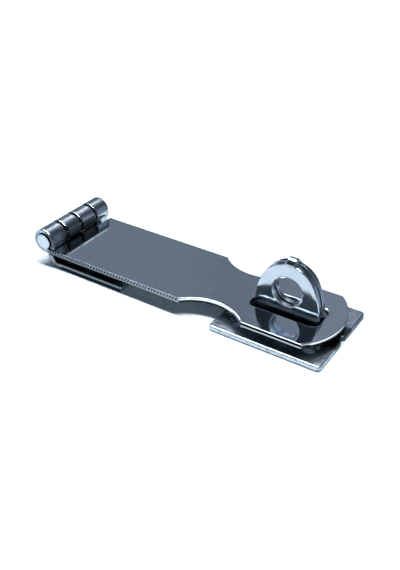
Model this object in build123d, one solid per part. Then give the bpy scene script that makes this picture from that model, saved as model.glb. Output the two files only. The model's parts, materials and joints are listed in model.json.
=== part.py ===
from build123d import *
import os
from math import acos, asin, cos, degrees, radians, sin, sqrt

# Hinged hasp, closed over its staple: a plain screwed leaf, a waisted strap that turns on it, the
# hinge pin with peened ends, and a staple folded from one sheet that stands up through the strap.
# X runs from the hinge to the strap's tip, Y along the hinge pin, and Z up from the mounting face.
# Every x below is a distance from the hinge axis, and every z a height above the mounting face.

# Sheet that the leaf, the strap and the staple are pressed from
sheet = 2.5
sheared_edge = 0.35

# Hinge
pin_diameter = 7.4
pin_clearance = 0.05
pin_head_overhang = 0.2
pin_head_height = 0.45
pin_head_chamfer = 0.25
pin_head_gap = 0.05
hinge_width = 44.0
strap_knuckle_length = 11.0
inner_leaf_knuckle_length = 10.4
knuckle_gap = 0.5
curl_gap = 0.3
mouth_bevel_width = 1.4
mouth_bevel_depth = 0.75

# Strap
strap_lift = 6.2
waist_start = 79.6
waist_length = 32.4
waist_depth = 7.35
shoulder_length = 28.6
end_bulge = 9.4
slot_to_tip = 9.1
slot_corner_radius = 3.6

# Room round the staple in the strap's slot
slot_end_clearance = 0.9
slot_side_clearance = 4.75

# Hinge leaf
leaf_flat_length = 38.1
leaf_bend_radius = 4.0
leaf_riser_lean = 17.0
leaf_corner_radius = 1.6
leaf_strap_gap = 0.3
leaf_screw_edge_distance = 9.0
notch_gap = 0.6

# Foot of the staple
plate_length = 54.4
plate_width = 48.8
plate_corner_radius = 2.0
plate_edge_radius = 0.7
plate_slit = 1.5
plate_slit_corner_radius = 2.4
plate_screw_end_distance = 9.7
plate_screw_side_distance = 10.5
relief_width = 1.2

# Lobes of the staple
lobe_gap = 1.5
lobe_width = 32.0
lobe_root_radius = 2.5
lobe_rim_width = 6.35
lobe_flank_radius = 32.7
lobe_neck_width = 4.3
lobe_neck_rise = 2.3
lobe_neck_fillet = 1.8
padlock_hole_diameter = 14.4
padlock_hole_above_strap = 2.35

# Countersunk screw holes, the same in the leaf and the staple
screw_hole_diameter = 5.2
countersink_width = 1.7

# Hinge sizes that follow from those above
eye_radius = pin_diameter / 2 + pin_clearance
knuckle_radius = eye_radius + sheet
axis_height = strap_lift + knuckle_radius
front_face = -hinge_width / 2
back_face = hinge_width / 2

# Strap sizes that follow: the staple stands in the slot, and the slot ends short of the tip
strap_top = strap_lift + sheet
waist_radius = (waist_length**2 / 4 + waist_depth**2) / (2 * waist_depth)
waist_middle = waist_start + waist_length / 2
shoulder_end = waist_start + waist_length + shoulder_length
end_radius = (back_face**2 + end_bulge**2) / (2 * end_bulge)
strap_tip = shoulder_end + end_bulge
notch_end = knuckle_radius + notch_gap

# Staple sizes that follow
lobe_thickness = 2 * sheet + lobe_gap
slot_length = lobe_width + 2 * slot_end_clearance
slot_width = lobe_thickness + 2 * slot_side_clearance
staple_centre = strap_tip - slot_to_tip - slot_length / 2
padlock_hole_radius = padlock_hole_diameter / 2
padlock_hole_height = strap_top + padlock_hole_above_strap + padlock_hole_radius
lobe_crown_radius = padlock_hole_radius + lobe_rim_width
lobe_height = padlock_hole_height + lobe_crown_radius + lobe_neck_rise
root_reach = lobe_thickness / 2 + lobe_root_radius

# Leaf sizes that follow: its riser is a straight run that touches the bend and the eye
leaf_bend_z = sheet + leaf_bend_radius
riser_drop = (axis_height - leaf_bend_z) * sin(radians(leaf_riser_lean))
leaf_bend_x = (knuckle_radius + leaf_bend_radius - riser_drop) / cos(radians(leaf_riser_lean))
leaf_end = leaf_bend_x + leaf_flat_length

# Middle of the closed hasp along X, which is brought over the origin
middle_x = (max(strap_tip, staple_centre + plate_length / 2) - knuckle_radius) / 2

# How far below the horizontal a rolled end stops, short of the sheet that it returns to
curl_stop = degrees(asin((eye_radius - curl_gap) / knuckle_radius))

# Room for rounding in a comparison of two lengths
tiny = 1e-3


def follow(end, length):
    """Front and back of a knuckle that starts one gap behind the end of the one before it."""
    return end + knuckle_gap, end + knuckle_gap + length


# Knuckles, front to back
front_strap_knuckle = (front_face, front_face + strap_knuckle_length)
inner_leaf_knuckle = follow(front_strap_knuckle[1], inner_leaf_knuckle_length)
back_strap_knuckle = follow(inner_leaf_knuckle[1], strap_knuckle_length)
outer_leaf_knuckle = (back_strap_knuckle[1] + knuckle_gap, back_face)
strap_knuckles = (front_strap_knuckle, back_strap_knuckle)
leaf_knuckles = (inner_leaf_knuckle, outer_leaf_knuckle)


def box_between(x_low, x_high, y_low, y_high):
    """Rectangle between two corners of a drawing."""
    centre = Pos((x_low + x_high) / 2, (y_low + y_high) / 2)
    return centre * Rectangle(x_high - x_low, y_high - y_low)


def across(profile, y_low, y_high):
    """Stretch a side profile, drawn in X and Z, from one Y to another."""
    return extrude(Plane.XZ.offset(-y_low) * profile, amount=y_high - y_low, dir=(0, 1, 0))


def slab(outline, z_low, z_high):
    """Thicken an outline drawn in X and Y between two heights."""
    return extrude(Pos(0, 0, z_low) * outline, amount=z_high - z_low)


def round_edges(solid, radius, is_wanted):
    """Round the edges of a solid that a test picks out."""
    return fillet(solid.edges().filter_by(is_wanted), radius)


def bevel_edges(solid, width, is_wanted):
    """Bevel the edges of a solid that a test picks out."""
    return chamfer(solid.edges().filter_by(is_wanted), width)


def is_upright(edge):
    """Tell whether an edge is a straight line along Z."""
    size = edge.bounding_box().size
    return size.X < tiny and size.Y < tiny


def lies_at(edge, height):
    """Tell whether the whole edge lies at one height."""
    box = edge.bounding_box()
    return abs(box.min.Z - height) < tiny and abs(box.max.Z - height) < tiny


def countersunk_holes(spacing_x, spacing_y):
    """Four countersunk screw holes on a rectangle, as the solids that cut them."""
    hole_radius = screw_hole_diameter / 2
    shaft = Pos(0, 0, sheet / 2) * Cylinder(hole_radius, 2 * sheet)
    sink = Cone(hole_radius, hole_radius + countersink_width, countersink_width)
    cutter = shaft + Pos(0, 0, sheet - countersink_width / 2) * sink
    return [place * cutter for place in GridLocations(spacing_x, spacing_y, 2, 2)]


def away(distance, angle):
    """Point at a distance from the origin, in a direction given in degrees."""
    return distance * cos(radians(angle)), distance * sin(radians(angle))


def wedge(first, last):
    """Wedge between two angles, wider than any bend in the sheet."""
    reach = 3 * knuckle_radius
    middle = (first + last) / 2
    return Polygon((0, 0), away(reach, first), away(2 * reach, middle), away(reach, last), align=None)


def rolled_eye(open_from, open_to):
    """Side profile of sheet rolled round the pin, open between two angles about its axis."""
    return Pos(0, axis_height) * (Circle(knuckle_radius) - Circle(eye_radius) - wedge(open_from, open_to))


def rolled_knuckle(open_from, open_to, start, stop):
    """One knuckle from its front to its back, with both outer rims bevelled."""
    def is_rim(edge):
        return edge.geom_type == GeomType.CIRCLE and abs(edge.radius - knuckle_radius) < tiny

    return bevel_edges(across(rolled_eye(open_from, open_to), start, stop), sheared_edge, is_rim)


def bore_mouth():
    """Dish that opens the front mouth of the hinge bore, as the solid that cuts it."""
    dish = Cone(eye_radius + mouth_bevel_width, eye_radius, mouth_bevel_depth)
    return Pos(0, front_face + mouth_bevel_depth / 2, axis_height) * Rot(-90, 0, 0) * dish


def room_for_knuckles(knuckles, end):
    """Plan of the openings in one leaf that leave room for the knuckles of the other."""
    rooms = Sketch()
    for start, stop in knuckles:
        rooms = rooms + box_between(-knuckle_radius, end, start - knuckle_gap, stop + knuckle_gap)
    return rooms


def strap_outline():
    """Plan of the flat strap: straight sides, a waist bitten out of each, and a bowed end."""
    body = box_between(0, shoulder_end, front_face, back_face)
    bow = Pos(strap_tip - end_radius, 0) * Circle(end_radius)
    outline = body + (bow & box_between(shoulder_end, strap_tip, front_face, back_face))
    for side in (-1, 1):
        bite_y = side * (back_face + waist_radius - waist_depth)
        outline = outline - Pos(waist_middle, bite_y) * Circle(waist_radius)
    return outline


def hasp_strap():
    """Flat strap with two knuckles rolled up and over the pin."""
    slot = Pos(staple_centre, 0) * RectangleRounded(slot_length, slot_width, slot_corner_radius)
    plan = strap_outline() - slot - room_for_knuckles(leaf_knuckles, notch_end)
    strap = slab(plan, strap_lift, strap_top)

    def is_in_slot(edge):
        middle = edge.center()
        along = abs(middle.X - staple_centre) < slot_length / 2 + tiny
        return along and abs(middle.Y) < slot_width / 2 + tiny

    def is_rim(edge, height):
        return lies_at(edge, height) and edge.center().X > notch_end + tiny

    def is_outer_rim(edge):
        return is_rim(edge, strap_top) and not is_in_slot(edge)

    def is_bevelled_rim(edge):
        return is_rim(edge, strap_lift) or is_rim(edge, strap_top) and is_in_slot(edge)

    strap = round_edges(strap, sheared_edge, is_outer_rim)
    strap = bevel_edges(strap, sheared_edge, is_bevelled_rim)
    for start, stop in strap_knuckles:
        strap = strap + rolled_knuckle(-90, -curl_stop, start, stop)
    return strap - bore_mouth()


def leaf_profile():
    """Side profile of the leaf up to its eyes: the flat, the bend and the riser, which leans over the flat."""
    flat = box_between(leaf_bend_x, leaf_end, 0, sheet)
    rise = 180 - leaf_riser_lean
    bend = (Circle(leaf_bend_z) - Circle(leaf_bend_radius)) & wedge(rise, 270)
    touches_bend = [Vector(leaf_bend_x, leaf_bend_z) + Vector(*away(radius, rise))
                    for radius in (leaf_bend_z, leaf_bend_radius)]
    touches_eye = [Vector(0, axis_height) + Vector(*away(radius, -leaf_riser_lean))
                   for radius in (knuckle_radius, eye_radius)]
    riser = Polygon(*touches_bend, *touches_eye, align=None)
    return flat + Pos(leaf_bend_x, leaf_bend_z) * bend + riser


def hinge_leaf():
    """Screwed leaf that bends up off the mounting face and rolls over the pin in two knuckles."""
    leaf = across(leaf_profile(), front_face, back_face)

    def is_free_corner(edge):
        return is_upright(edge) and edge.center().X > leaf_end - tiny

    def is_flat_rim(edge):
        return lies_at(edge, sheet) and edge.center().X > leaf_bend_x + tiny

    leaf = round_edges(leaf, leaf_corner_radius, is_free_corner)
    leaf = bevel_edges(leaf, sheared_edge, is_flat_rim)
    below_strap = strap_lift - leaf_strap_gap
    leaf = leaf - slab(room_for_knuckles(strap_knuckles, leaf_end), below_strap, axis_height + sheet)
    for start, stop in leaf_knuckles:
        leaf = leaf + rolled_knuckle(curl_stop - leaf_riser_lean - 90, -leaf_riser_lean, start, stop)
    leaf = leaf - mirror(bore_mouth(), Plane.XZ)
    spacing_x = leaf_flat_length - 2 * leaf_screw_edge_distance
    spacing_y = hinge_width - 2 * leaf_screw_edge_distance
    flat_middle = leaf_bend_x + leaf_flat_length / 2
    for hole in countersunk_holes(spacing_x, spacing_y):
        leaf = leaf - Pos(flat_middle, 0, 0) * hole
    return leaf


def hinge_pin():
    """Hinge pin with a peened head at each end."""
    shank_length = hinge_width + 2 * pin_head_gap
    head_radius = pin_diameter / 2 + pin_head_overhang
    head = Pos(0, 0, (shank_length + pin_head_height) / 2) * Cylinder(head_radius, pin_head_height)
    head = chamfer(head.edges().sort_by(Axis.Z)[-1], pin_head_chamfer)
    pin = Cylinder(pin_diameter / 2, shank_length) + head + mirror(head, Plane.XY)
    return Pos(0, 0, axis_height) * Rot(90, 0, 0) * pin


def lobe_outline():
    """Side view of the lobes: an arch of three arcs, with a narrow neck on its crown."""
    half = lobe_width / 2
    flank_centre = lobe_flank_radius - half
    radius_step = lobe_flank_radius - lobe_crown_radius
    flank_z = padlock_hole_height - sqrt(radius_step**2 - flank_centre**2)
    lean = acos(flank_centre / radius_step)
    crown_z = padlock_hole_height + lobe_crown_radius * sin(lean)
    arch = box_between(-half, half, 0, flank_z)
    flanks = Pos(-flank_centre, flank_z) * Circle(lobe_flank_radius)
    flanks = flanks & (Pos(flank_centre, flank_z) * Circle(lobe_flank_radius))
    arch = arch + (flanks & box_between(-half, half, flank_z, crown_z))
    crown = Pos(0, padlock_hole_height) * Circle(lobe_crown_radius)
    arch = arch + (crown & box_between(-half, half, padlock_hole_height, lobe_height))
    neck_half = lobe_neck_width / 2
    arch = arch + box_between(-neck_half, neck_half, padlock_hole_height, lobe_height)

    def is_neck_foot(vertex):
        return abs(abs(vertex.X) - neck_half) < tiny and vertex.Y < lobe_height - tiny

    return fillet(arch.vertices().filter_by(is_neck_foot), lobe_neck_fillet)


def folded_profile():
    """End view of the folded sheet, drawn in Y and Z: a round fold, two legs and their root bends."""
    outer = lobe_thickness / 2
    inner = lobe_gap / 2
    fold_z = lobe_height - outer
    bend_z = sheet + lobe_root_radius
    fold = Pos(0, fold_z) * (Circle(outer) - Circle(inner))
    leg = box_between(inner, outer, bend_z, fold_z)
    bend = Pos(root_reach, bend_z) * (Circle(bend_z) - Circle(lobe_root_radius))
    bend = bend & box_between(inner, root_reach, 0, bend_z)
    half = (fold & box_between(0, outer, fold_z, lobe_height)) + leg + bend
    return half + mirror(half, Plane.YZ)


def staple_lobes():
    """The two lobes with the padlock hole through both, joined over the top by their neck."""
    end_view = Plane.YZ.offset(-lobe_width / 2) * folded_profile()
    lobes = extrude(end_view, amount=lobe_width, dir=(1, 0, 0))
    lobes = lobes & across(lobe_outline(), -root_reach, root_reach)
    hole = Rot(90, 0, 0) * Cylinder(padlock_hole_radius, 2 * root_reach)
    lobes = lobes - Pos(0, 0, padlock_hole_height) * hole

    def is_rim(edge):
        radii = (padlock_hole_radius, lobe_crown_radius, lobe_flank_radius)
        is_arc = edge.geom_type == GeomType.CIRCLE and edge.bounding_box().size.Y < tiny
        on_outside = abs(abs(edge.center().Y) - lobe_thickness / 2) < tiny
        return is_arc and on_outside and any(abs(edge.radius - radius) < tiny for radius in radii)

    return bevel_edges(lobes, sheared_edge, is_rim)


def staple_foot():
    """Back half of the staple's foot, with its slit edge and the relief beside the lobes."""
    slit_edge = plate_slit / 2
    side_edge = plate_width / 2
    half_length = plate_length / 2
    foot = slab(box_between(-half_length, half_length, slit_edge, side_edge), 0, sheet)

    def is_inner_corner(edge):
        return is_upright(edge) and edge.center().Y < slit_edge + tiny

    def is_outer_corner(edge):
        return is_upright(edge) and edge.center().Y > side_edge - tiny

    foot = round_edges(foot, plate_slit_corner_radius, is_inner_corner)
    foot = round_edges(foot, plate_corner_radius, is_outer_corner)
    foot = fillet(foot.faces().sort_by(Axis.Z)[-1].edges(), plate_edge_radius)
    relief_half = lobe_width / 2 + relief_width
    return foot - slab(box_between(-relief_half, relief_half, 0, root_reach), -sheet, 2 * sheet)


def staple_plate():
    """Staple folded from one sheet: two lobes joined over the top, and a foot out to each side."""
    foot = staple_foot()
    staple = staple_lobes() + foot + mirror(foot, Plane.XZ)
    spacing_x = plate_length - 2 * plate_screw_end_distance
    spacing_y = plate_width - 2 * plate_screw_side_distance
    for hole in countersunk_holes(spacing_x, spacing_y):
        staple = staple - hole
    return Pos(staple_centre, 0, 0) * staple


def main():
    """Build each piece, centre the closed hasp over the origin, and write one file per piece."""
    pieces = {
        "hinge_leaf": hinge_leaf(),
        "hasp_strap": hasp_strap(),
        "hinge_pin": hinge_pin(),
        "staple_plate": staple_plate(),
    }
    os.makedirs("parts", exist_ok=True)
    for name, piece in pieces.items():
        export_step(Pos(-middle_x, 0, 0) * piece, os.path.join("parts", name + ".step"))


main()
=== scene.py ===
"""Bright plated hasp and staple, lying closed on a pale floor under plain soft studio light.

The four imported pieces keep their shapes. This script gives each one its plated finish, sets the floor, the
light and the camera, and leaves everything that moves on the body that carries it.
"""

from __future__ import annotations

import json
import logging
import math
from dataclasses import dataclass, replace
from enum import Enum
from typing import Any, Mapping, Sequence, Union

import bpy
from mathutils import Matrix, Vector

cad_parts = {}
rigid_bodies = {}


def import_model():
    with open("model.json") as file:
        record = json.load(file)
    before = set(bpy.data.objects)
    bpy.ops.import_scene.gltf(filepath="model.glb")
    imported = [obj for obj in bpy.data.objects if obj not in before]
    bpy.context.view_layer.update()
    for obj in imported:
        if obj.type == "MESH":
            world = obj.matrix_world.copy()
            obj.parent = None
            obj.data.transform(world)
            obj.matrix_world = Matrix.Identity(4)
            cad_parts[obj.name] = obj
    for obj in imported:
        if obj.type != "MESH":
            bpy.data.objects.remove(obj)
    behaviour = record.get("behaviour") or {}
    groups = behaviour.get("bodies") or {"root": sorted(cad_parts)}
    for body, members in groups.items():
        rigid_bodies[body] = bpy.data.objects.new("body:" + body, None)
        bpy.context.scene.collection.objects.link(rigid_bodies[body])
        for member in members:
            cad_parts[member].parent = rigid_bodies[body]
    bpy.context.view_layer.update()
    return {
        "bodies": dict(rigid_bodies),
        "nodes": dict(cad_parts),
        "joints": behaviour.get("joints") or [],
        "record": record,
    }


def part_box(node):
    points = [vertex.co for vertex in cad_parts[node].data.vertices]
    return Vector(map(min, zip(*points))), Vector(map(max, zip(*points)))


LOG = logging.getLogger("hasp")
Triple = tuple[float, float, float]
Colour = Triple
Place = Triple
# Where a smooth step starts and ends, in millimetres, or for a turn in parts of a unit direction.
Step = tuple[float, float]
MM = 0.001
STAPLE_TINT: Colour = (0.60, 0.67, 0.76)
PIN_TINT: Colour = (0.62, 0.70, 0.78)
PIN_ROUGHNESS = 0.20
MOTTLE_STEP: Step = (0.45, 0.62)
UPRIGHT_STEP: Step = (0.25, 0.55)


class Signal:
    """One value in a shader tree, with the arithmetic operators; each one adds a Math node."""

    def __init__(self, tree: ShaderTree, socket: bpy.types.NodeSocket) -> None:
        """Remember the tree and the output socket that carries the value."""
        self.tree = tree
        self.socket = socket

    def math(self, operation: str, *terms: Term) -> Signal:
        """Add one Math node.

        Args:
            operation: Blender's name of the operation.
            terms: the operands in order, signals or plain numbers.

        Returns:
            The node's result.
        """
        return self.tree.node("ShaderNodeMath", {"operation": operation}, dict(enumerate(terms)))

    def __add__(self, other: Term) -> Signal:
        """Sum."""
        return self.math("ADD", self, other)

    def __sub__(self, other: Term) -> Signal:
        """Difference."""
        return self.math("SUBTRACT", self, other)

    def __rsub__(self, other: Term) -> Signal:
        """Difference from a number."""
        return self.math("SUBTRACT", other, self)

    def __mul__(self, other: Term) -> Signal:
        """Product."""
        return self.math("MULTIPLY", self, other)

    __radd__ = __add__
    __rmul__ = __mul__

    def __abs__(self) -> Signal:
        """Size without sign."""
        return self.math("ABSOLUTE", self)

    def larger(self, other: Term) -> Signal:
        """The larger of this value and another."""
        return self.math("MAXIMUM", self, other)

    def smaller(self, other: Term) -> Signal:
        """The smaller of this value and another."""
        return self.math("MINIMUM", self, other)

    def rise(self, low: Term, high: Term) -> Signal:
        """Smooth step from 0 at one value to 1 at another.

        Args:
            low: the value at which the step starts.
            high: the value at which it ends.

        Returns:
            The step, between 0 and 1.
        """
        return self.tree.node(
            "ShaderNodeMapRange",
            {"interpolation_type": "SMOOTHSTEP"},
            {"Value": self, "From Min": low, "From Max": high},
        )

    def within(self, up: Step, down: Step) -> Signal:
        """Smooth step up and, further on, down again.

        Args:
            up: the values at which it starts to rise and is full.
            down: the values at which it starts to fall and is gone.

        Returns:
            The band, between 0 and 1.
        """
        return self.rise(*up) * (1.0 - self.rise(*down))


Term = Union[Signal, float]
Input = Union[Signal, float, Sequence[float]]


class ShaderTree:
    """A node tree that is filled by calls, one for each node."""

    def __init__(self, tree: bpy.types.NodeTree) -> None:
        """Start from an empty tree."""
        self.tree = tree
        tree.nodes.clear()

    def node(
        self,
        kind: str,
        settings: Mapping[str, Any] | None = None,
        inputs: Mapping[int | str, Input] | None = None,
        output: int | str = 0,
    ) -> Signal:
        """Add a node of any kind.

        Args:
            kind: Blender's type name of the node.
            settings: its properties, which are set first; "stops" are a ramp's positions and colours.
            inputs: what each socket gets, a signal to link or a plain value.
            output: the output socket that is wanted.

        Returns:
            That output.
        """
        made = self.tree.nodes.new(kind)
        for name, value in (settings or {}).items():
            if name == "stops":
                self._set_stops(made.color_ramp, value)
            else:
                setattr(made, name, value)
        for name, value in (inputs or {}).items():
            if isinstance(value, Signal):
                self.tree.links.new(value.socket, made.inputs[name])
            else:
                made.inputs[name].default_value = value
        return Signal(self, made.outputs[output] if made.outputs else None)

    @staticmethod
    def _set_stops(ramp: bpy.types.ColorRamp, stops: Sequence[tuple[float, Colour]]) -> None:
        """Give a colour ramp its stops.

        Args:
            ramp: the ramp of a new Color Ramp node.
            stops: positions between 0 and 1, each with its colour.
        """
        while len(ramp.elements) > 1:
            ramp.elements.remove(ramp.elements[-1])
        for index, (position, colour) in enumerate(stops):
            element = ramp.elements[0] if index == 0 else ramp.elements.new(position)
            element.position = position
            element.color = (*colour, 1.0)

    def split(self, vector: Signal) -> tuple[Signal, Signal, Signal]:
        """Take a vector apart.

        Args:
            vector: the vector.

        Returns:
            Its three parts.
        """
        parts = self.node("ShaderNodeSeparateXYZ", inputs={"Vector": vector})
        sockets = parts.socket.node.outputs
        return tuple(Signal(self, sockets[axis]) for axis in range(3))

    def stretch(self, vector: Signal, factors: Triple) -> Signal:
        """A vector with each part multiplied by its own factor."""
        return self.node("ShaderNodeVectorMath", {"operation": "MULTIPLY"}, {0: vector, 1: factors})

    def dot(self, first: Signal, second: Signal) -> Signal:
        """How far two unit vectors agree, 1 when they are the same."""
        return self.node(
            "ShaderNodeVectorMath", {"operation": "DOT_PRODUCT"}, {0: first, 1: second}, output="Value")

    def mix(self, share: Term, first: Input, second: Input) -> Signal:
        """Blend two colours.

        Args:
            share: 0 for the first colour and 1 for the second.
            first: a colour as three numbers, or a signal.
            second: the other colour.

        Returns:
            The blend.
        """
        full = [part if isinstance(part, Signal) else (*part, 1.0) for part in (first, second)]
        inputs = {"Factor": share, 6: full[0], 7: full[1]}
        return self.node("ShaderNodeMix", {"data_type": "RGBA"}, inputs, output=2)

    def noise(self, vector: Signal, detail: float = 2.0, roughness: float = 0.5) -> Signal:
        """Cloudy noise between 0 and 1, about one feature for each unit of the vector.

        Args:
            vector: the place.
            detail: how many finer layers are added.
            roughness: how strong the finer layers are.

        Returns:
            The noise.
        """
        inputs = {"Vector": vector, "Scale": 1.0, "Detail": detail, "Roughness": roughness}
        return self.node("ShaderNodeTexNoise", inputs=inputs)


class Lay(Enum):
    """Direction of the polishing lines: how closely they follow each other along X, Y and Z, per mm."""

    ALONG_X = (0.06, 5.0, 5.0)
    ALONG_Y = (5.0, 0.06, 5.0)
    ROUND_THE_END = (3.0, 3.0, 3.0)


@dataclass(frozen=True)
class Spot:
    """Where a shader stands on its piece, and which way the surface faces there."""

    x: Signal
    y: Signal
    z: Signal
    place: Signal
    facing_x: Signal
    facing_y: Signal
    facing_z: Signal

    @classmethod
    def on(cls, tree: ShaderTree) -> Spot:
        """Read the place in millimetres and the direction.

        Args:
            tree: the tree that needs them.

        Returns:
            The spot.
        """
        place = tree.stretch(tree.node("ShaderNodeTexCoord", output="Object"), (1 / MM,) * 3)
        facing = tree.split(tree.node("ShaderNodeTexCoord", output="Normal"))
        return cls(*tree.split(place), place, *facing)

    def stands_up(self) -> Signal:
        """1 on a face that stands upright on the mounting face."""
        return 1.0 - abs(self.facing_z).rise(*UPRIGHT_STEP)


@dataclass(frozen=True)
class Coat:
    """Colour, roughness and relief of a finish, changed one mark at a time."""

    tree: ShaderTree
    tint: Signal
    roughness: Signal
    height: Signal

    def tinted(self, share: Term, colour: Input) -> Coat:
        """Blend the colour towards another one."""
        return replace(self, tint=self.tree.mix(share, self.tint, colour))

    def rougher(self, amount: Term) -> Coat:
        """Add to the roughness."""
        return replace(self, roughness=self.roughness + amount)

    def raised(self, amount: Term) -> Coat:
        """Add to the relief, in metres."""
        return replace(self, height=self.height + amount)


@dataclass(frozen=True)
class Plating:
    """Bright nickel plate over pressed sheet: nearly a mirror, with faint waves, lines and specks."""

    name: str
    lay: Lay = Lay.ALONG_X
    tint: Colour = (0.70, 0.765, 0.84)
    worn_tint: Colour = (0.80, 0.84, 0.88)
    worn_share: float = 0.6
    cloud_share: float = 0.35
    speck_tint: Colour = (0.25, 0.27, 0.30)
    speck_share: float = 0.25
    roughness: float = 0.045
    line_roughness: float = 0.035
    speck_roughness: float = 0.20
    cloud_roughness: float = 0.03
    worn_roughness: float = 0.05
    wave_height: float = 0.010 * MM
    line_height: float = 0.0006 * MM
    wave_rate: float = 0.07
    cloud_rate: float = 0.23
    speck_rate: float = 0.9
    cloud_step: Step = (0.35, 0.75)
    speck_step: Step = (0.78, 0.82)
    worn_step: Step = (0.86, 0.995)
    edge_radius: float = 0.45 * MM
    edge_samples: int = 6

    def material(self) -> bpy.types.Material:
        """Build the shader.

        Returns:
            The material, with everything that varies feeding colour, roughness or normal.
        """
        made = bpy.data.materials.new(self.name)
        made.use_nodes = True
        tree = ShaderTree(made.node_tree)
        spot = Spot.on(tree)
        rounded = tree.node("ShaderNodeBevel", {"samples": self.edge_samples}, {"Radius": self.edge_radius})
        true_normal = tree.node("ShaderNodeNewGeometry", output="Normal")
        worn = 1.0 - tree.dot(rounded, true_normal).rise(*self.worn_step)

        lines = tree.noise(tree.stretch(spot.place, self.lay.value), 3.0, 0.6)
        waves = tree.noise(tree.stretch(spot.place, (self.wave_rate,) * 3), 1.0)
        clouds = tree.noise(tree.stretch(spot.place, (self.cloud_rate,) * 3), 3.0)
        specks = tree.noise(tree.stretch(spot.place, (self.speck_rate,) * 3), 1.0).rise(*self.speck_step)

        roughness = self.roughness + self.line_roughness * lines
        roughness = roughness + self.cloud_roughness * clouds + worn * self.worn_roughness
        tint = tree.mix(clouds.rise(*self.cloud_step) * self.cloud_share, self.tint, self.worn_tint)
        coat = Coat(tree, tint, roughness, waves * self.wave_height + lines * self.line_height)
        coat = coat.tinted(worn * self.worn_share, self.worn_tint)
        coat = coat.tinted(specks * self.speck_share, self.speck_tint).rougher(specks * self.speck_roughness)
        coat = self.own_marks(spot, coat)

        normal = tree.node(
            "ShaderNodeBump",
            inputs={"Strength": 1.0, "Distance": 1.0, "Height": coat.height, "Normal": rounded},
        )
        shader = tree.node(
            "ShaderNodeBsdfPrincipled",
            inputs={"Base Color": coat.tint, "Metallic": 1.0, "Roughness": coat.roughness, "Normal": normal},
        )
        tree.node("ShaderNodeOutputMaterial", inputs={"Surface": shader})
        return made

    def own_marks(self, spot: Spot, coat: Coat) -> Coat:
        """Add what marks one piece alone.

        Args:
            spot: place and direction on the piece.
            coat: the finish so far.

        Returns:
            The finish with the piece's own marks.
        """
        return coat


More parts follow.
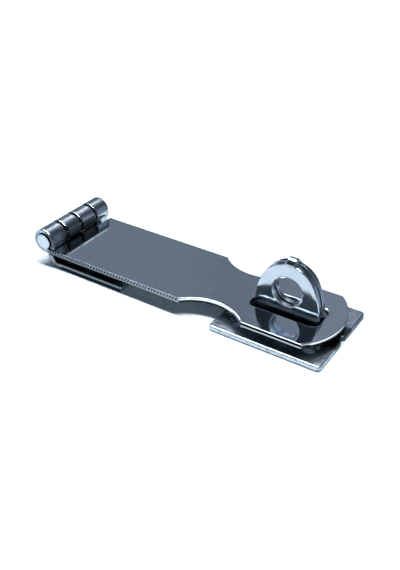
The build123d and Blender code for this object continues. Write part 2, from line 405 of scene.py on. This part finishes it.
@dataclass(frozen=True)
class HingedPlating(Plating):
    """Plating on the strap and the leaf: soft knuckles with painted shade under them and in the seams."""

    half_width: float = 22.0
    hinge_x: float = 0.0
    barrel_reach: float = 6.3
    barrel_fade: float = 0.3
    end_inset: Step = (-1.2, -0.8)
    side_inset: Step = (-0.42, -0.32)
    side_from: Step = (1.0, 3.0)
    seams: tuple[float, ...] = (-10.75, 0.15, 11.65)
    seam_half: float = 0.25
    seam_turn: Step = (0.25, 0.6)
    end_reach: float = 1.4
    end_drop: float = 0.16 * MM
    rolled_tint: Colour = (0.36, 0.43, 0.48)
    rolled_roughness: float = 0.10
    rolled_rate: Triple = (0.35, 0.22, 0.35)
    rolled_wave: float = 0.030 * MM
    rolled_share: float = 0.55
    # painted shade over the front and far knuckles, which dims their highlights
    outer_knuckle_shade_share: float = 0.65
    outer_knuckle_shade_far: float = 0.7
    # painted shade on the knuckles' undersides, where they turn down to the sheet
    shade_tint: Colour = (0.06, 0.075, 0.068)
    shade_share: float = 0.95
    shade_spared: float = 0.90
    near_share: float = 0.85
    near_knuckles: Step = (-3.0, 3.0)
    front_knuckle: Step = (-17.0, -13.0)
    far_knuckle: Step = (11.2, 12.2)
    turned_out: Step = (0.0, 0.3)
    turned_down: Step = (0.30, 0.44)
    near_turned_down: Step = (0.62, 0.78)
    turned_under: Step = (0.0, 0.15)
    # painted shade on the knuckle ends that face each other inside the seams
    inner_shade_tint: Colour = (0.015, 0.018, 0.022)

    def own_marks(self, spot: Spot, coat: Coat) -> Coat:
        """Soften the knuckles and paint shade on them, mark the sheared sides and paint shade into the seams.

        Args:
            spot: place and direction on the piece.
            coat: the finish so far.

        Returns:
            The finish with the piece's own marks.
        """
        reach = self.hinge_x + self.barrel_reach
        barrel = 1.0 - spot.x.rise(reach, reach + self.barrel_fade)
        coat = self._roll(spot, coat, barrel)
        coat = self._shade(spot, coat, barrel)
        coat = self.side_marks(spot, coat, self._side(spot))
        # Painted shade: the knuckle ends inside the seams are darkened, but not the barrel's two outer ends.
        inside = 1.0 - (abs(spot.y) - self.half_width).rise(*self.end_inset)
        return coat.tinted(abs(spot.facing_y).rise(*self.seam_turn) * barrel * inside, self.inner_shade_tint)

    def _roll(self, spot: Spot, coat: Coat, barrel: Signal) -> Coat:
        """Mottle the rolled knuckles and round their ends.

        Args:
            spot: place and direction on the piece.
            coat: the finish so far.
            barrel: 1 on the barrel.

        Returns:
            The finish with softer knuckles.
        """
        mottle = coat.tree.noise(coat.tree.stretch(spot.place, self.rolled_rate), 3.0)
        to_end = self.half_width - abs(spot.y)
        for seam in self.seams:
            to_end = to_end.smaller(abs(spot.y - seam) - self.seam_half)
        fall = (self.end_reach - to_end).larger(0.0)
        coat = coat.rougher(barrel * (0.5 + mottle) * self.rolled_roughness)
        coat = coat.tinted(barrel * mottle.rise(*MOTTLE_STEP) * self.rolled_share, self.rolled_tint)
        return coat.raised(barrel * (mottle * self.rolled_wave - fall * fall * self.end_drop))

    def _shade(self, spot: Spot, coat: Coat, barrel: Signal) -> Coat:
        """Paint shade on the knuckles where they turn down to the sheet, and over the two outer ones.

        Args:
            spot: place and direction on the piece.
            coat: the finish so far.
            barrel: 1 on the barrel.

        Returns:
            The finish with painted shade on the knuckles.
        """
        far = spot.y.rise(*self.far_knuckle)
        near = 1.0 - spot.y.rise(*self.near_knuckles)
        front = 1.0 - spot.y.rise(*self.front_knuckle)
        spared = far * self.shade_spared
        # Painted shade where the knuckles turn down towards the sheet.
        lower = (1.0 - spot.facing_z.rise(*self.turned_down)) * (self.shade_share - spared)
        lower = lower.larger((1.0 - spot.facing_z.rise(*self.near_turned_down)) * near * self.near_share)
        lowest = (1.0 - spot.facing_z.rise(*self.turned_under)) * (1.0 - spared)
        shade = barrel * spot.facing_x.rise(*self.turned_out) * lower.larger(lowest)
        # Painted shade over the front and far knuckles, dimming their highlights.
        outer_knuckle_shade = barrel * front.larger(far * self.outer_knuckle_shade_far)
        return coat.tinted(shade, self.shade_tint).tinted(outer_knuckle_shade * self.outer_knuckle_shade_share, self.rolled_tint)

    def _side(self, spot: Spot) -> Signal:
        """1 on the straight sheared sides, past the knuckles."""
        past = (spot.x - self.hinge_x).rise(*self.side_from)
        return (abs(spot.y) - self.half_width).rise(*self.side_inset) * past

    def side_marks(self, spot: Spot, coat: Coat, side: Signal) -> Coat:
        """Mark the sheared sides.

        Args:
            spot: place and direction on the piece.
            coat: the finish so far.
            side: 1 on the sheared sides.

        Returns:
            The finish with the marks of the shear.
        """
        return coat


@dataclass(frozen=True)
class LeafPlating(HingedPlating):
    """Plating on the leaf: painted shade on its sides below a lighter upper edge, and in the hollow of its
    bend.
    """

    # painted shade: the sides are darkened below the upper edge, less at the edge and the bend, most in the
    # hollow
    side_tint: Colour = (0.018, 0.028, 0.055)
    rim_tint: Colour = (0.42, 0.46, 0.48)
    bend_tint: Colour = (0.30, 0.34, 0.37)
    hollow_shade_tint: Colour = (0.05, 0.055, 0.06)
    side_roughness: float = 0.15
    flat_from: Step = (8.0, 11.0)
    rim_from: Step = (1.7, 1.9)
    hollow_out: Step = (0.10, 0.25)
    hollow_up: Step = (-0.2, 0.0)
    hollow_top: Step = (8.4, 9.0)
    hollow_end: Step = (13.0, 14.0)

    def side_marks(self, spot: Spot, coat: Coat, side: Signal) -> Coat:
        """Paint shade into the hollow of the bend and onto the sides, more along the flat leaf than at its
        bend.

        Args:
            spot: place and direction on the piece.
            coat: the finish so far.
            side: 1 on the sheared sides.

        Returns:
            The finish with painted shade on the sides.
        """
        past = spot.x - self.hinge_x
        flat = past.rise(*self.flat_from)
        below = 1.0 - spot.z.rise(*self.rim_from)
        hollow = spot.facing_x.rise(*self.hollow_out) * spot.facing_z.rise(*self.hollow_up)
        hollow = hollow * (1.0 - spot.z.rise(*self.hollow_top)) * (1.0 - side)
        hollow = hollow * (1.0 - past.rise(*self.hollow_end))
        # Painted shade on the hollow of the bend and on the sides, which lie under the strap.
        coat = coat.tinted(hollow, self.hollow_shade_tint).tinted(side * (1.0 - flat), self.bend_tint)
        coat = coat.tinted(side * flat, self.rim_tint).tinted(side * flat * below, self.side_tint)
        return coat.rougher(side * self.side_roughness)


@dataclass(frozen=True)
class ScoredPlating(HingedPlating):
    """Plating on the strap: scored straight sides, punched curves with a torn foot, painted shade on the
    underside.
    """

    sheet_bottom: float = 6.2
    side_tint: Colour = (0.11, 0.14, 0.165)
    line_tint: Colour = (0.60, 0.64, 0.68)
    ridge_tint: Colour = (0.50, 0.56, 0.61)
    score_tint: Colour = (0.004, 0.007, 0.010)
    score_step: Step = (-0.65, -0.1)
    score_least: float = 0.80
    score_deep: Step = (0.35, 0.65)
    score_band: tuple[Step, Step] = ((0.95, 1.15), (2.15, 2.35))
    score_pitch: float = 1.7
    score_slant: float = 0.6
    score_wander: float = 5.0
    score_height: float = 0.03 * MM
    score_roughness: float = 0.20
    wander_rate: float = 0.12
    depth_rate: Triple = (0.11, 0.0, 0.0)
    ridge_least: float = 0.25
    ridge_deep: float = 0.40
    ridge_near: float = 0.35
    ridge_along: Step = (-45.0, -5.0)
    foot_least: float = 0.15
    foot_near: float = 0.45
    foot_along: Step = (-35.0, 5.0)
    foot_band: tuple[Step, Step] = ((0.3, 0.45), (0.85, 1.05))
    past_waist: Step = (35.0, 38.0)
    past_barrel: Step = (8.0, 9.0)
    torn_band: tuple[Step, Step] = ((1.20, 1.35), (1.35, 1.50))
    torn_tint: Colour = (0.006, 0.008, 0.010)
    punched_tint: Colour = (0.97, 0.98, 1.0)
    # painted shade: the strap's underside is darkened
    under_shade_tint: Colour = (0.46, 0.49, 0.50)
    under_turn: Step = (0.3, 0.6)
    under_roughness: float = 0.18

    def side_marks(self, spot: Spot, coat: Coat, side: Signal) -> Coat:
        """Mark the straight sides, the punched curves and the underside.

        Args:
            spot: place and direction on the piece.
            coat: the finish so far.
            side: 1 on the straight sides.

        Returns:
            The finish with the marks of shear and punch.
        """
        level = spot.z - self.sheet_bottom
        return self._punch(spot, self._score(spot, coat, side, level), side, level)

    def _score(self, spot: Spot, coat: Coat, side: Signal, level: Signal) -> Coat:
        """Score the straight sides up to the waist, and draw one dark line between two bright ones past it.

        Args:
            spot: place and direction on the piece.
            coat: the finish so far.
            side: 1 on the straight sides.
            level: height over the sheet's underside, in millimetres.

        Returns:
            The finish with scored sides.
        """
        tree = coat.tree
        wander = tree.noise(tree.stretch(spot.place, (self.wander_rate,) * 3), 2.0)
        along = spot.x - spot.z * self.score_slant
        turn = along * (math.tau / self.score_pitch) + wander * self.score_wander
        depth = tree.noise(tree.stretch(spot.place, self.depth_rate), 1.0).rise(*self.score_deep)
        score = turn.math("SINE", turn).rise(*self.score_step)
        score = score * (self.score_least + (1.0 - self.score_least) * depth)

        beyond = spot.x.rise(*self.past_waist)
        middle = level.within(*self.score_band)
        foot = level.within(*self.foot_band)
        scored = side * middle * score.larger(beyond)
        ridge = self.ridge_least + self.ridge_deep * depth + self.ridge_near * spot.x.rise(*self.ridge_along)
        ridges = side * middle * ridge
        sheared = self.foot_least + self.foot_near * spot.x.rise(*self.foot_along)
        edges = (side * foot * sheared).larger(side * beyond)

        coat = coat.tinted(side, self.side_tint).tinted(ridges, self.ridge_tint)
        coat = coat.tinted(edges, self.line_tint).tinted(scored, self.score_tint)
        return coat.rougher(side * self.score_roughness).raised(scored * -self.score_height)

    def _punch(self, spot: Spot, coat: Coat, side: Signal, level: Signal) -> Coat:
        """Brighten the punched curves over a dark torn foot, roughen the underside and paint shade on it.

        Args:
            spot: place and direction on the piece.
            coat: the finish so far.
            side: 1 on the straight sides.
            level: height over the sheet's underside, in millimetres.

        Returns:
            The finish with punched curves.
        """
        past = (spot.x - self.hinge_x).rise(*self.past_barrel)
        upright = spot.stands_up() * past
        fading, bright = self.torn_band
        punched = upright * (1.0 - side) * level.rise(*bright)
        torn = upright * (1.0 - level.rise(*fading))
        torn = torn * (1.0 - side * level.rise(*self.foot_band[0]))
        # Painted shade on the underside, which faces the plate.
        under = (0.0 - spot.facing_z).rise(*self.under_turn) * past
        coat = coat.tinted(punched, self.punched_tint).tinted(torn, self.torn_tint)
        coat = coat.tinted(under, self.under_shade_tint)
        return coat.rougher(torn * self.score_roughness + under * self.under_roughness)


@dataclass(frozen=True)
class FoldedPlating(Plating):
    """Plating on the staple: satin on its domed lobes, painted shade at their roots, mottled on the foot."""

    middle_x: float = 0.0
    eye_z: float = 18.25
    bore_radius: float = 7.5
    bore_tint: Colour = (0.86, 0.94, 1.0)
    bore_fade: float = 0.1
    lobe_from: Step = (7.8, 8.8)
    lobe_roughness: float = 0.055
    grain_rate: float = 1.3
    grain_height: float = 0.0025 * MM
    dome_reach: Step = (11.4, 14.2)
    dome_above: Step = (-3.0, 6.0)
    dome_drop: float = 0.28 * MM
    foot_top: Step = (2.6, 3.2)
    foot_lowest: Step = (0.35, 0.6)
    foot_roughness: float = 0.13
    mottle_tint: Colour = (0.26, 0.31, 0.36)
    mottle_share: float = 0.6
    mottle_rate: float = 0.45
    mottle_height: float = 0.012 * MM
    # painted shade on the bends at the lobes' roots and along the foot's lowest edge
    root_reach: Step = (7.5, 10.5)
    root_shade_tint: Colour = (0.05, 0.06, 0.055)
    root_shade_share: float = 0.92

    def own_marks(self, spot: Spot, coat: Coat) -> Coat:
        """Finish the lobes and the foot, and paint shade on the bends at the lobes' roots and on the foot's
        lowest edge.

        Args:
            spot: place and direction on the piece.
            coat: the finish so far.

        Returns:
            The finish with the staple's own marks.
        """
        lobe = spot.z.rise(*self.lobe_from)
        coat = self._finish_foot(spot, self._finish_lobes(spot, coat, lobe))
        # Painted shade at the lobes' roots under the strap, and along the foot's lowest edge by the floor.
        root = (1.0 - lobe) * (1.0 - abs(spot.y).rise(*self.root_reach))
        lowest = spot.stands_up() * (1.0 - spot.z.rise(*self.foot_lowest))
        return coat.tinted(root.larger(lowest) * self.root_shade_share, self.root_shade_tint)

    def _finish_lobes(self, spot: Spot, coat: Coat, lobe: Signal) -> Coat:
        """Grain the lobes, let their rims fall away and brighten the bore.

        Args:
            spot: place and direction on the piece.
            coat: the finish so far.
            lobe: 1 on the lobes.

        Returns:
            The finish with satin lobes.
        """
        tree = coat.tree
        grain = tree.noise(tree.stretch(spot.place, (self.grain_rate,) * 3), 3.0)
        across, above = spot.x - self.middle_x, spot.z - self.eye_z
        squares = across * across + above * above
        away = squares.math("SQRT", squares)
        bore = 1.0 - away.rise(self.bore_radius - self.bore_fade, self.bore_radius + self.bore_fade)
        dome = away.rise(*self.dome_reach) * above.rise(*self.dome_above)
        coat = coat.tinted(lobe * bore, self.bore_tint)
        coat = coat.rougher(lobe * (0.5 + grain) * self.lobe_roughness)
        return coat.raised(lobe * grain * self.grain_height - dome * self.dome_drop)

    def _finish_foot(self, spot: Spot, coat: Coat) -> Coat:
        """Mottle and dull the foot.

        Args:
            spot: place and direction on the piece.
            coat: the finish so far.

        Returns:
            The finish with a satin foot.
        """
        tree = coat.tree
        foot = 1.0 - spot.z.rise(*self.foot_top)
        mottle = tree.noise(tree.stretch(spot.place, (self.mottle_rate,) * 3), 4.0, 0.6)
        coat = coat.tinted(foot * mottle.rise(*MOTTLE_STEP) * self.mottle_share, self.mottle_tint)
        coat = coat.rougher(foot * self.foot_roughness * (0.6 + 0.8 * mottle))
        return coat.raised(foot * mottle * self.mottle_height)


@dataclass(frozen=True)
class PinSteel(Plating):
    """Plain steel of the pin: its ends peened and satin, its shank painted dark with shade inside the
    knuckles.
    """

    # painted shade on the shank, which lies inside the knuckles
    inner_shade_tint: Colour = (0.02, 0.022, 0.025)
    end_turn: Step = (0.25, 0.55)
    dimple_rate: float = 1.1
    dimple_height: float = 0.02 * MM

    def own_marks(self, spot: Spot, coat: Coat) -> Coat:
        """Paint shade on the shank and dimple the peened ends.

        Args:
            spot: place and direction on the pin.
            coat: the finish so far.

        Returns:
            The finish of the pin.
        """
        # Painted shade: all of the pin but its two ends is darkened.
        end = abs(spot.facing_y).rise(*self.end_turn)
        dimples = coat.tree.noise(coat.tree.stretch(spot.place, (self.dimple_rate,) * 3), 2.0)
        return coat.tinted(1.0 - end, self.inner_shade_tint).raised(end * dimples * self.dimple_height)


@dataclass
class SheetPart:
    """One piece of the hasp and its finish."""

    node: str
    finish: Plating
    slot: str = "polished_steel"

    def dress(self, nodes: Mapping[str, bpy.types.Object]) -> bpy.types.Object:
        """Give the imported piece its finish.

        Args:
            nodes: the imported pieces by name.

        Returns:
            The piece.
        """
        piece = nodes[self.node]
        piece.data.materials.clear()
        piece.data.materials.append(self.finish.material())
        LOG.info("%s dressed as %s", self.node, self.finish.name)
        return piece


@dataclass
class HaspPieces:
    """The whole hasp: strap, hinge leaf, hinge pin and staple."""

    hinge_x: float
    half_width: float
    staple_x: float

    def parts(self) -> list[SheetPart]:
        """Pair every piece with its finish.

        Returns:
            The four pieces, the strap first.
        """
        hinge = {"hinge_x": self.hinge_x, "half_width": self.half_width}
        staple = FoldedPlating("staple_plating", Lay.ALONG_Y, tint=STAPLE_TINT, middle_x=self.staple_x)
        pin = PinSteel("peened_end", Lay.ROUND_THE_END, tint=PIN_TINT, roughness=PIN_ROUGHNESS)
        return [
            SheetPart("hasp_strap", ScoredPlating("strap_plate", **hinge)),
            SheetPart("hinge_leaf", LeafPlating("leaf_plate", **hinge)),
            SheetPart("staple_plate", staple),
            SheetPart("hinge_pin", pin, slot="bright_pin"),
        ]

    @classmethod
    def of(cls, frame: Mapping[str, Any]) -> HaspPieces:
        """Take the places of the hinge and the staple and the strap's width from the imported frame.

        Args:
            frame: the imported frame.

        Returns:
            The pieces.
        """
        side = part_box("hasp_strap")[1][1]
        low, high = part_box("staple_plate")
        return cls(frame["joints"][0]["pos_m"][0] / MM, side / MM, (low[0] + high[0]) / 2 / MM)

    def dress(self, nodes: Mapping[str, bpy.types.Object]) -> list[bpy.types.Object]:
        """Dress every piece and return them."""
        return [part.dress(nodes) for part in self.parts()]


@dataclass(frozen=True)
class Studio:
    """Pale floor, a soft strip light over it, and a grey room that the metal mirrors.

    The stops of skirting, wall and ceiling give the room's colour at angles round the hasp, in degrees, from
    behind it (0) over its right (90) to its front (180) and left (-90).
    """

    floor_half: float = 1.5
    floor_colour: Colour = (0.605, 0.60, 0.58)
    floor_white: Colour = (1.0, 1.0, 1.0)
    floor_far: Colour = (0.16, 0.17, 0.21)
    floor_glow: Colour = (0.010, 0.020, 0.030)
    floor_white_reach: Step = (0.15, 0.8)
    floor_dark_reach: Step = (0.13, 0.22)
    floor_past: Step = (-0.045, -0.025)
    floor_behind: Step = (0.0, 0.02)
    fill: Colour = (0.030, 0.045, 0.058)
    strip_place: Place = (-0.21, 0.12, 1.0)
    strip_colour: Colour = (0.81, 0.92, 1.0)
    strip_length: float = 1.20
    strip_width: float = 0.16
    strip_power: float = 24.5
    ceiling_from: Step = (37.0, 45.0)
    wall_from: Step = (20.0, 27.0)
    skirting_stops: tuple[tuple[float, Colour], ...] = (
        (-180.0, (0.018, 0.026, 0.032)),
        (-142.0, (0.018, 0.026, 0.032)),
        (-135.0, (0.55, 0.60, 0.66)),
        (-125.0, (0.50, 0.55, 0.61)),
        (-110.0, (0.26, 0.30, 0.35)),
        (-75.0, (0.26, 0.30, 0.35)),
        (-52.0, (0.18, 0.215, 0.26)),
        (-45.0, (0.15, 0.18, 0.22)),
        (-41.0, (0.03, 0.035, 0.045)),
        (20.0, (0.05, 0.06, 0.07)),
        (38.0, (0.07, 0.085, 0.10)),
        (44.0, (0.26, 0.30, 0.37)),
        (53.0, (0.26, 0.30, 0.37)),
        (60.0, (0.03, 0.04, 0.05)),
        (122.0, (0.04, 0.05, 0.06)),
        (135.0, (0.42, 0.45, 0.48)),
        (150.0, (0.42, 0.45, 0.48)),
        (162.0, (0.018, 0.026, 0.032)),
        (180.0, (0.018, 0.026, 0.032)),
    )
    wall_stops: tuple[tuple[float, Colour], ...] = (
        (-180.0, (0.018, 0.026, 0.032)),
        (-142.0, (0.018, 0.026, 0.032)),
        (-135.0, (0.55, 0.60, 0.66)),
        (-125.0, (0.50, 0.55, 0.61)),
        (-110.0, (0.26, 0.30, 0.35)),
        (-75.0, (0.26, 0.30, 0.35)),
        (-60.0, (0.18, 0.215, 0.26)),
        (-33.0, (0.18, 0.213, 0.26)),
        (-29.0, (0.158, 0.188, 0.232)),
        (-25.5, (0.172, 0.205, 0.252)),
        (-20.0, (0.212, 0.248, 0.306)),
        (-5.0, (0.22, 0.24, 0.31)),
        (20.0, (0.05, 0.06, 0.07)),
        (36.0, (0.05, 0.06, 0.07)),
        (44.0, (0.15, 0.175, 0.215)),
        (53.0, (0.15, 0.175, 0.215)),
        (62.0, (0.03, 0.04, 0.05)),
        (122.0, (0.04, 0.05, 0.06)),
        (135.0, (0.42, 0.45, 0.48)),
        (150.0, (0.42, 0.45, 0.48)),
        (165.0, (0.018, 0.026, 0.032)),
        (180.0, (0.018, 0.026, 0.032)),
    )
    ceiling_stops: tuple[tuple[float, Colour], ...] = (
        (-180.0, (0.018, 0.026, 0.032)),
        (-135.0, (0.025, 0.034, 0.042)),
        (-105.0, (0.45, 0.50, 0.56)),
        (-60.0, (0.80, 0.85, 0.95)),
        (-42.0, (1.45, 1.52, 1.62)),
        (-20.0, (1.45, 1.52, 1.62)),
        (-5.0, (0.55, 0.60, 0.68)),
        (10.0, (0.18, 0.21, 0.25)),
        (28.0, (0.05, 0.06, 0.075)),
        (60.0, (0.06, 0.075, 0.09)),
        (120.0, (0.12, 0.14, 0.17)),
        (180.0, (0.03, 0.04, 0.05)),
    )
    front_band: Colour = (0.85, 0.90, 0.95)
    front_turn: Step = (-0.95, -0.75)
    front_height: Step = (0.16, 0.28)

    def build(self) -> None:
        """Make the floor, the strip light and the room."""
        self._lay_floor()
        self._hang_strip()
        self._paint_room()

    def _lay_floor(self) -> None:
        """Lay a pale floor that takes the hasp's shadow."""
        mesh = bpy.data.meshes.new("floor")
        reach = self.floor_half
        square = [(-reach, -reach, 0.0), (reach, -reach, 0.0), (reach, reach, 0.0), (-reach, reach, 0.0)]
        mesh.from_pydata(square, [], [(0, 1, 2, 3)])
        mesh.materials.append(self._floor_finish())
        floor = bpy.data.objects.new("floor", mesh)
        bpy.context.scene.collection.objects.link(floor)

    def _floor_finish(self) -> bpy.types.Material:
        """Paint the floor: white to the eye, grey in the metal, and darker there behind and past the hasp.

        Returns:
            The floor's material.
        """
        made = bpy.data.materials.new("pale_floor")
        made.use_nodes = True
        tree = ShaderTree(made.node_tree)
        eye = tree.node("ShaderNodeLightPath", output="Is Camera Ray")
        mirrored = tree.node("ShaderNodeLightPath", output="Is Glossy Ray")
        place = tree.node("ShaderNodeTexCoord", output="Object")
        along_x, along_y, _ = tree.split(place)
        away = tree.node("ShaderNodeVectorMath", {"operation": "LENGTH"}, {0: place}, "Value")
        past = along_x.rise(*self.floor_past)
        behind = along_y.rise(*self.floor_behind)
        dark = mirrored * behind * away.rise(*self.floor_dark_reach).larger(past)
        colour = tree.mix(dark, tree.mix(eye, self.floor_colour, self.floor_white), self.floor_far)
        diffuse = tree.node("ShaderNodeBsdfDiffuse", inputs={"Color": colour})
        shine = tree.mix(eye * away.rise(*self.floor_white_reach), self.floor_glow, self.floor_white)
        glow = tree.node("ShaderNodeEmission", inputs={"Color": shine, "Strength": eye.larger(mirrored)})
        both = tree.node("ShaderNodeAddShader", inputs={0: diffuse, 1: glow})
        tree.node("ShaderNodeOutputMaterial", inputs={"Surface": both})
        return made

    def _hang_strip(self) -> None:
        """Hang a strip light over the hasp, along X, so that long edges cast crisp shadows."""
        data = bpy.data.lights.new("strip", "AREA")
        data.shape = "RECTANGLE"
        data.size = self.strip_length
        data.size_y = self.strip_width
        data.energy = self.strip_power
        data.color = self.strip_colour
        strip = bpy.data.objects.new("strip", data)
        strip.location = self.strip_place
        bpy.context.scene.collection.objects.link(strip)

    def _paint_room(self) -> None:
        """Colour the room by direction, with white behind the hasp for the eye alone."""
        world = bpy.data.worlds.new("studio")
        world.use_nodes = True
        bpy.context.scene.world = world
        tree = ShaderTree(world.node_tree)
        along_x, along_y, up = tree.split(tree.node("ShaderNodeTexCoord", output="Generated"))
        turn = along_x.math("ARCTAN2", along_x, along_y) * (1 / math.tau) + 0.5
        room = self._ring(tree, turn, self.skirting_stops)
        for angles, stops in ((self.wall_from, self.wall_stops), (self.ceiling_from, self.ceiling_stops)):
            share = up.rise(*(math.sin(math.radians(angle)) for angle in angles))
            room = tree.mix(share, room, self._ring(tree, turn, stops))
        in_front = (1.0 - along_y.rise(*self.front_turn)) * (1.0 - up.rise(*self.front_height))
        room = tree.mix(in_front, room, self.front_band)
        mirrored = tree.node("ShaderNodeLightPath", output="Is Glossy Ray")
        eye = tree.node("ShaderNodeLightPath", output="Is Camera Ray")
        shown = tree.mix(eye, tree.mix(mirrored, self.fill, room), (1.0, 1.0, 1.0))
        light = tree.node("ShaderNodeBackground", inputs={"Color": shown, "Strength": 1.0})
        tree.node("ShaderNodeOutputWorld", inputs={"Surface": light})

    @staticmethod
    def _ring(tree: ShaderTree, turn: Signal, stops: tuple[tuple[float, Colour], ...]) -> Signal:
        """Colours round the room.

        Args:
            tree: the world's tree.
            turn: the direction, from 0 to 1 round the room.
            stops: angles in degrees, each with its colour.

        Returns:
            The colour in that direction.
        """
        placed = [(angle / 360 + 0.5, colour) for angle, colour in stops]
        return tree.node("ShaderNodeValToRGB", {"stops": placed}, {"Fac": turn})


@dataclass(frozen=True)
class PhotoCamera:
    """The camera of the photograph, placed from the hinge axis."""

    from_hinge: Place = (0.23997, -0.26212, 0.20262)
    azimuth: float = 31.81
    elevation: float = 32.86
    roll: float = 1.31
    focal_pixels: float = 774.32
    image_height: float = 570.0
    sensor: float = 36.0

    def place(self, hinge_x: float) -> bpy.types.Object:
        """Set the scene's camera.

        Args:
            hinge_x: where the hinge axis lies along X, in metres.

        Returns:
            The camera.
        """
        data = bpy.data.cameras.new("camera")
        data.sensor_width = self.sensor
        data.lens = self.focal_pixels / self.image_height * self.sensor
        data.clip_start = 0.01
        camera = bpy.data.objects.new("camera", data)
        bpy.context.scene.collection.objects.link(camera)
        turn, tilt = math.radians(self.azimuth), math.radians(self.elevation)
        right = Vector((math.cos(turn), math.sin(turn), 0.0))
        back = Vector((math.sin(turn) * math.cos(tilt), -math.cos(turn) * math.cos(tilt), math.sin(tilt)))
        axes = Matrix((right, back.cross(right), back)).transposed()
        lean = Matrix.Rotation(math.radians(self.roll), 3, "Z")
        camera.matrix_world = (axes @ lean).to_4x4()
        camera.location = Vector((hinge_x, 0.0, 0.0)) + Vector(self.from_hinge)
        bpy.context.scene.camera = camera
        return camera


def main() -> None:
    """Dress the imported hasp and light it."""
    logging.basicConfig(level=logging.INFO, format="%(name)s: %(message)s")
    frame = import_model()
    HaspPieces.of(frame).dress(frame["nodes"])
    Studio().build()
    LOG.info("studio built")
    PhotoCamera().place(frame["joints"][0]["pos_m"][0])
    LOG.info("camera placed")
    bpy.context.scene.view_settings.view_transform = "Standard"


if __name__ == "__main__":
    main()
